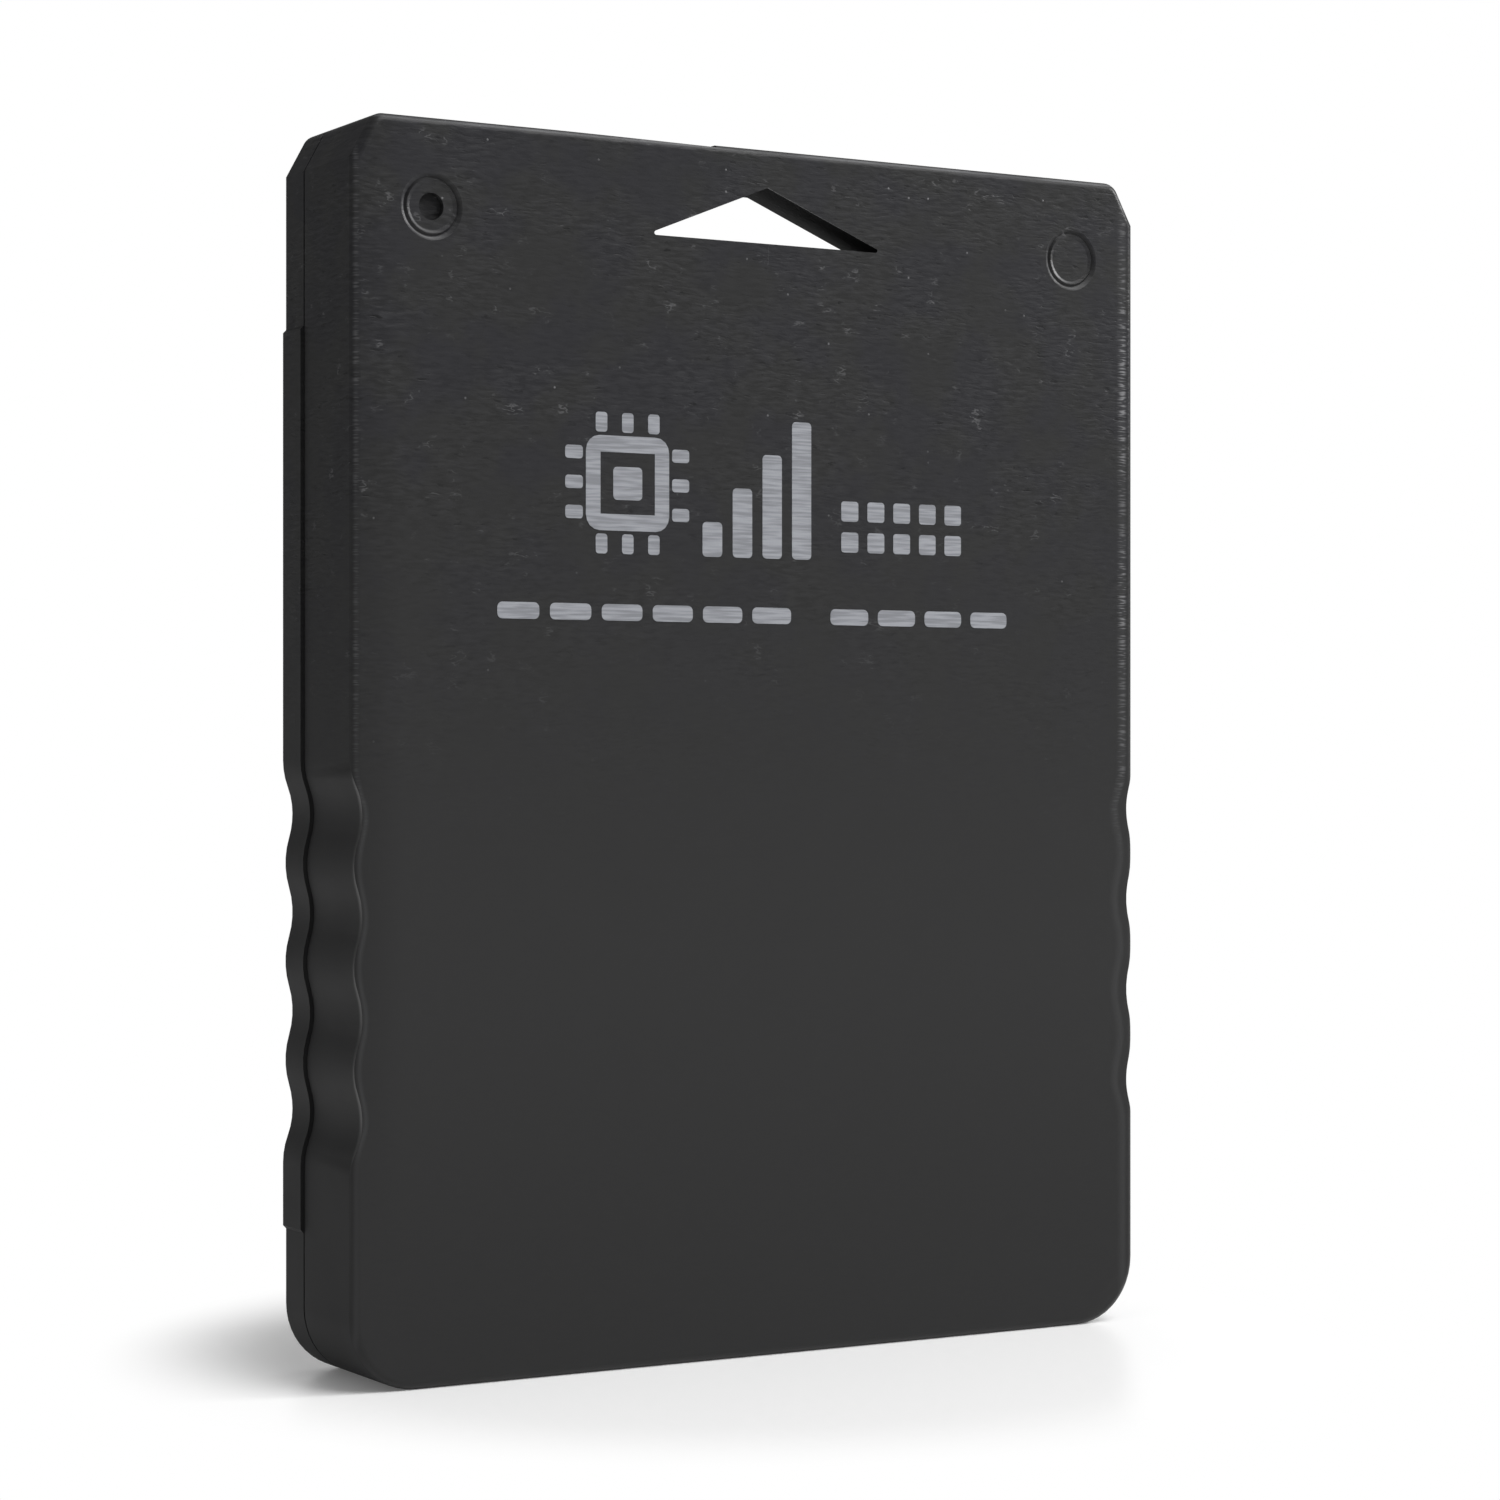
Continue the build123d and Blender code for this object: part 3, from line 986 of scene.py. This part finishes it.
@dataclass
class FacePrint:
    """Silver print on the face: a chip pictogram, rising bars, a block of squares and a broken rule.

    Attributes:
        proud: Thickness of the ink.
        foot: Height of the foot of the large marks.
        tall: Height of the large marks.
        stroke: Width of the chip's outline.
        chip_middle: Middle of the chip across the face.
        pin_gap: Gap between a pin and the outline.
        dash_groups: Left end and number of dashes of each group.
        wide_corner: Radius of the corners of the dashes.
        corner: Radius of the corners of the core and the bars.
        small_corner: Radius of the corners of the pins and the squares.
    """

    proud: float = 0.014
    foot: float = 37.0
    tall: float = 6.4
    stroke: float = 0.75
    chip_middle: float = -7.4
    chip_body: float = 4.3
    chip_radius: float = 0.7
    chip_core: float = 1.5
    pin_width: float = 0.6
    pin_pitch: float = 1.35
    pin_gap: float = 0.15
    bars_left: float = -3.5
    bar_count: int = 4
    bar_width: float = 1.05
    bar_pitch: float = 1.6
    squares_left: float = 4.0
    squares_foot: float = 37.4
    square: float = 0.95
    square_pitch: float = 1.45
    square_columns: int = 5
    square_rows: int = 2
    rule_height: float = 34.35
    dash_length: float = 2.1
    dash_height: float = 0.75
    dash_pitch: float = 2.63
    dash_groups: tuple[tuple[float, int], ...] = ((-14.0, 6), (3.4, 4))
    wide_corner: float = 0.25
    corner: float = 0.2
    small_corner: float = 0.15

    def build(self) -> None:
        """Build the print as one piece on the face."""
        ink = Relief(face=float(Box.of("front_shell").low[1]), outward=-1, proud=self.proud)
        self.add_chip(ink)
        self.add_bars(ink)
        self.add_squares(ink)
        self.add_rule(ink)
        ink.build("face_print", PrintInk().material())

    def add_chip(self, ink: Relief) -> None:
        """Add the chip: a square outline with a core and three pins on each side."""
        middle = self.foot + self.tall / 2
        centre = (self.chip_middle, middle)
        ink.band(centre, (self.chip_body, self.chip_body), self.chip_radius, self.stroke)
        ink.plate(centre, (self.chip_core, self.chip_core), self.corner)
        pin_length = (self.tall - self.chip_body) / 2 - self.pin_gap
        upright, level = (self.pin_width, pin_length), (pin_length, self.pin_width)
        reach = (self.tall - pin_length) / 2
        for offset in np.arange(-1, 2) * self.pin_pitch:
            for side in (-reach, reach):
                ink.plate((self.chip_middle + offset, middle + side), upright, self.small_corner)
                ink.plate((self.chip_middle + side, middle + offset), level, self.small_corner)

    def add_bars(self, ink: Relief) -> None:
        """Add the rising bars, each taller than the last by the same step."""
        for index in range(self.bar_count):
            height = self.tall * (index + 1) / self.bar_count
            left = self.bars_left + index * self.bar_pitch
            centre = (left + self.bar_width / 2, self.foot + height / 2)
            ink.plate(centre, (self.bar_width, height), self.corner)

    def add_squares(self, ink: Relief) -> None:
        """Add the block of small squares in rows and columns."""
        for row in range(self.square_rows):
            for column in range(self.square_columns):
                across = self.squares_left + self.square / 2 + column * self.square_pitch
                up = self.squares_foot + self.square / 2 + row * self.square_pitch
                ink.plate((across, up), (self.square, self.square), self.small_corner)

    def add_rule(self, ink: Relief) -> None:
        """Add the broken rule, in two groups of dashes."""
        for left, count in self.dash_groups:
            for index in range(count):
                across = left + self.dash_length / 2 + index * self.dash_pitch
                size = (self.dash_length, self.dash_height)
                ink.plate((across, self.rule_height), size, self.wide_corner)


@dataclass
class ConnectorBoard:
    """Circuit board with its gold contacts, and the tracks that lead up from them.

    Attributes:
        track_proud: Height of a track over the board.
        track_corner: Radius of a track's corners.
        via_size: Diameter of the ring at a track's upper end.
        track_mask: Colour of the mask over the tracks.
    """

    contact_count: int = 8
    track_width: float = 0.6
    track_proud: float = 0.03
    track_length: float = 2.2
    track_corner: float = 0.1
    via_size: float = 1.1
    via_stroke: float = 0.3
    track_mask: Colour = tone(40, 112, 66)

    def build(self) -> None:
        """Build the tracks and dress the board and the contacts."""
        board = Box.of("circuit_board")
        contacts = [f"contact_{number}" for number in range(1, self.contact_count + 1)]
        dress("circuit_board", BoardLaminate("green_laminate", board).material())
        gold = ContactGold("contact_plate", Box.of(*contacts)).material()
        tracks = Relief(face=float(board.high[1]), outward=1, proud=self.track_proud)
        for contact in contacts:
            dress(contact, gold)
            strip = Box.of(contact)
            foot = float(strip.high[2])
            across = float(strip.middle[0])
            size = (self.track_width, self.track_length)
            tracks.plate((across, foot + self.track_length / 2), size, self.track_corner)
            up = foot + self.track_length + self.via_size / 2
            tracks.band((across, up), (self.via_size, self.via_size), self.via_size / 2, self.via_stroke)
        finish = BoardLaminate("masked_track", board, mask=self.track_mask).material()
        tracks.build("board_tracks", finish)


@dataclass
class BoardParts:
    """Packages, leads and small ceramic parts on the board.

    Attributes:
        tan: Colours of the body and the grain of a capacitor.
        slate: Colours of the body and the grain of a resistor.
    """

    capacitor_count: int = 4
    resistor_count: int = 6
    tan: tuple[Colour, Colour] = (tone(168, 142, 112), tone(186, 162, 132))
    slate: tuple[Colour, Colour] = (tone(34, 34, 38), tone(54, 54, 60))

    def build(self) -> None:
        """Dress every part on the board."""
        tin = LeadTin().material()
        for chip in ("flash", "controller"):
            dress(f"{chip}_chip", ChipEpoxy(f"{chip}_epoxy", Box.of(f"{chip}_chip")).material())
            dress(f"{chip}_leads", tin)
        for number in range(1, self.capacitor_count + 1):
            self.dress_ceramic(f"capacitor_{number}", Along.ACROSS, *self.tan)
        for number in range(1, self.resistor_count + 1):
            self.dress_ceramic(f"resistor_{number}", Along.UP, *self.slate)

    def dress_ceramic(self, node: str, along: Along, body: Colour, speckle: Colour) -> None:
        """Give one ceramic part its body and caps.

        Args:
            node: Name of the solid.
            along: Direction in which it lies.
            body: Colour of the ceramic.
            speckle: Colour of its grain.
        """
        dress(node, CeramicPart(f"{node}_ceramic", Box.of(node), along, body, speckle).material())


@dataclass(frozen=True)
class Softbox:
    """Square lamp that looks at the middle of the card.

    Attributes:
        toward: Direction from the card to the lamp.
        distance: Distance in metres.
        size: Side length in metres.
        level: Light on a surface that faces it, as a share of plain daylight on white.
    """

    name: str
    toward: tuple[float, float, float]
    distance: float
    size: float
    level: float

    def build(self, target: np.ndarray) -> None:
        """Hang the lamp: its power is the level times pi squared times the squared distance.

        Args:
            target: Point that it looks at, in metres.
        """
        lamp = bpy.data.lights.new(self.name, "AREA")
        lamp.size = self.size
        lamp.energy = self.level * math.pi**2 * self.distance**2
        holder = bpy.data.objects.new(self.name, lamp)
        unit = np.array(self.toward) / np.linalg.norm(self.toward)
        holder.location = target + unit * self.distance
        turn = math.atan2(unit[0], -unit[1])
        tilt = math.acos(unit[2])
        holder.rotation_euler = (tilt, 0.0, turn)
        bpy.context.scene.collection.objects.link(holder)


@dataclass
class Viewpoint:
    """Level camera, fitted to the near long edge of the printed face in an image of 1500 pixels.

    Attributes:
        turn_deg: Turn of the view from square on to the face.
        focal_px: Focal length in pixels.
        image_px: Side of the image.
        edge_px: Place of the near edge across the image.
        edge_top_px: Place of its upper end down the image.
        edge_foot_px: Place of its lower end down the image.
        sensor: Width of the sensor in millimetres.
    """

    turn_deg: float = 30.44
    focal_px: float = 3625.0
    image_px: float = 1500.0
    edge_px: float = 352.6
    edge_top_px: float = 108.6
    edge_foot_px: float = 1396.9
    sensor: float = 36.0

    def build(self, card: Box) -> None:
        """Set up the camera: the edge's height in pixels gives its distance along the view.

        Args:
            card: Box of the front half.
        """
        centre_px = self.image_px / 2
        scale = (self.edge_foot_px - self.edge_top_px) / card.size[2]
        reach = self.focal_px / scale
        aside = (self.edge_px - centre_px) / scale
        eye = (self.edge_foot_px - centre_px) / scale
        turn = math.radians(self.turn_deg)
        forward = np.array((math.sin(turn), math.cos(turn), 0.0))
        right = np.array((math.cos(turn), -math.sin(turn), 0.0))
        edge = np.array((card.low[0], card.low[1], eye))
        camera = bpy.data.cameras.new("photo_camera")
        camera.sensor_width = self.sensor
        camera.lens = self.sensor * self.focal_px / self.image_px
        camera.clip_start = 10 * MM
        holder = bpy.data.objects.new("photo_camera", camera)
        holder.location = (edge - forward * reach - right * aside) * MM
        holder.rotation_euler = (math.pi / 2, 0.0, -turn)
        bpy.context.scene.collection.objects.link(holder)
        bpy.context.scene.camera = holder


@dataclass
class Studio:
    """Pale floor and backdrop, soft lamps and plain surrounding light, with lengths in metres.

    Attributes:
        floor_core: Radius of the floor's innermost circle.
        backdrop_distance: Distance of the backdrop behind the card.
        surround: Level of the surrounding light.
    """

    floor_core: float = 0.01
    floor_radius: float = 3.0
    backdrop_distance: float = 0.9
    backdrop_width: float = 0.9
    backdrop_height: float = 0.6
    surround: float = 0.32
    lamps: tuple[Softbox, ...] = (
        Softbox("key_softbox", (0.3, -0.52, 0.8), 0.6, 0.4, 0.7),
        Softbox("side_softbox", (0.85, -0.35, 0.4), 0.5, 0.1, 0.5),
    )

    def build(self, card: Box, view: Viewpoint) -> None:
        """Set up the stage.

        Args:
            card: Box of the whole card.
            view: Viewpoint that the backdrop faces.
        """
        paper = StudioPaper().material()
        self.add_floor(paper)
        self.add_backdrop(paper, math.radians(view.turn_deg))
        for lamp in self.lamps:
            lamp.build(card.middle * MM)
        world = bpy.data.worlds.new("studio_light")
        world.use_nodes = True
        graph = NodeGraph(world.node_tree)
        inputs = {"Color": (1.0, 1.0, 1.0, 1.0), "Strength": self.surround}
        light = graph.add("ShaderNodeBackground", None, inputs)
        graph.add("ShaderNodeOutputWorld", None, {"Surface": light.outputs[0]})
        bpy.context.scene.world = world
        bpy.context.scene.view_settings.view_transform = "Standard"

    def add_floor(self, paper: bpy.types.Material) -> None:
        """Add the floor: circles about the card, each a fixed share wider than the last.

        Args:
            paper: Finish of the floor.
        """
        rows, columns = 12, 64
        angle = np.linspace(0, 2 * math.pi, columns, endpoint=False)
        radius = np.geomspace(self.floor_core, self.floor_radius, rows)[:, None]
        level = np.zeros((rows, columns))
        points = np.stack((radius * np.cos(angle), radius * np.sin(angle), level), axis=-1)
        faces = grid_quads(rows, columns)[:, ::-1].tolist() + [list(range(columns))]
        self.add_stage("floor", points.reshape(-1, 3), faces, paper)

    def add_backdrop(self, paper: bpy.types.Material, turn: float) -> None:
        """Add the backdrop: an upright sheet square to the view, on the floor behind the card.

        Args:
            paper: Finish of the backdrop.
            turn: Turn of the view.
        """
        rows, columns = 7, 9
        places = np.linspace(-0.5, 0.5, columns) * self.backdrop_width
        across, up = np.meshgrid(places, np.linspace(0, self.backdrop_height, rows))
        x = across * math.cos(turn) + self.backdrop_distance * math.sin(turn)
        y = -across * math.sin(turn) + self.backdrop_distance * math.cos(turn)
        points = np.stack((x, y, up), axis=-1).reshape(-1, 3)
        start = (np.arange(rows - 1)[:, None] * columns + np.arange(columns - 1)).reshape(-1, 1)
        quads = start + np.array((0, 1, columns + 1, columns))
        self.add_stage("backdrop", points, quads.tolist(), paper)

    def add_stage(self, name: str, points: np.ndarray, faces: list, paper: bpy.types.Material) -> None:
        """Put a stage sheet into the scene.

        Args:
            name: Name of the sheet.
            points: Its points in metres.
            faces: Its faces.
            paper: Its finish.
        """
        mesh = bpy.data.meshes.new(name)
        mesh.from_pydata(points.tolist(), [], faces)
        mesh.materials.append(paper)
        sheet = bpy.data.objects.new(name, mesh)
        bpy.context.scene.collection.objects.link(sheet)


def main() -> None:
    """Build the card's looks piece by piece, then the stage and the camera."""
    logging.basicConfig(level=logging.INFO, format="%(name)s %(message)s")
    CaseHalves().build()
    FacePrint().build()
    ConnectorBoard().build()
    BoardParts().build()
    view = Viewpoint()
    view.build(Box.of("front_shell"))
    Studio().build(Box.of("front_shell", "rear_shell"), view)


if __name__ == "__main__":
    main()
